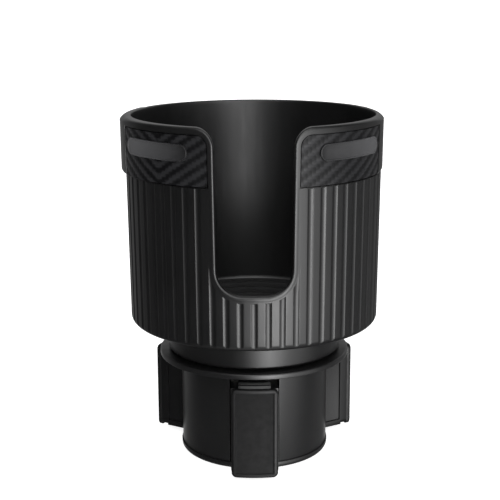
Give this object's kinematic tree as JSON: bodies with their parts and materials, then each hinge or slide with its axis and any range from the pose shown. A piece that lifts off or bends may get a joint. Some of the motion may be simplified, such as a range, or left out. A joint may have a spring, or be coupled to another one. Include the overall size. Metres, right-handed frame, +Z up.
{
  "type": "car cup holder expander",
  "caption": "Fluted cup with an open front slot on a bowl-shaped collar; turning it drives rubber-faced jaws out of a round base to grip a car's cup well.",
  "frame": {"origin": "centre of the rubber foot's underside, on the axis that the cup turns about", "axes": "+Z up along the cup's axis, -Y towards the slot's side, +X to the right seen from the slot's side"},
  "size_m": [0.1032, 0.1003, 0.1375],
  "materials": {
    "mould_black": "fine moulded satin",
    "trim_weave": "moulded twill weave",
    "badge_satin": "satin",
    "rubber_black": "matt",
    "acetal_white": "smooth",
    "screw_steel": "turned"
  },
  "bodies": {
    "base": {"base_housing": "mould_black", "bottom_plate": "mould_black", "rubber_foot": "rubber_black", "body_screws": "screw_steel", "lower_washer": "acetal_white", "upper_washer": "acetal_white"},
    "cup": {"cup_shell": "mould_black", "trim_panel_left": "trim_weave", "trim_panel_right": "trim_weave", "badge_bar_left": "badge_satin", "badge_bar_right": "badge_satin", "floor_mat": "rubber_black", "neck_collar": "mould_black", "scroll_disc": "acetal_white", "cup_screws": "screw_steel", "spindle_screw": "screw_steel", "spindle_washer": "screw_steel"},
    "front_jaw": {"jaw_front": "mould_black", "jaw_pad_front": "rubber_black"},
    "right_jaw": {"jaw_right": "mould_black", "jaw_pad_right": "rubber_black"},
    "left_jaw": {"jaw_left": "mould_black", "jaw_pad_left": "rubber_black"}
  },
  "joints": [
    {"name": "cup_turn", "type": "hinge", "parent": "base", "child": "cup", "pos_m": [0, 0, 0.0427], "axis": [0, 0, 1], "range_deg": [-200, 468]},
    {"name": "front_jaw_slide", "type": "slide", "parent": "base", "child": "front_jaw", "axis": [0, -1, 0], "range_m": [-0.0056, 0.0024]},
    {"name": "right_jaw_slide", "type": "slide", "parent": "base", "child": "right_jaw", "axis": [0.866, 0.5, 0], "range_m": [-0.0056, 0.0024]},
    {"name": "left_jaw_slide", "type": "slide", "parent": "base", "child": "left_jaw", "axis": [-0.866, 0.5, 0], "range_m": [-0.0056, 0.0024]}
  ],
  "couplings": [
    {"joint": "front_jaw_slide", "follows": "cup_turn", "m_per_rad": -0.00068437},
    {"joint": "right_jaw_slide", "follows": "cup_turn", "m_per_rad": -0.00068437},
    {"joint": "left_jaw_slide", "follows": "cup_turn", "m_per_rad": -0.00068437}
  ]
}
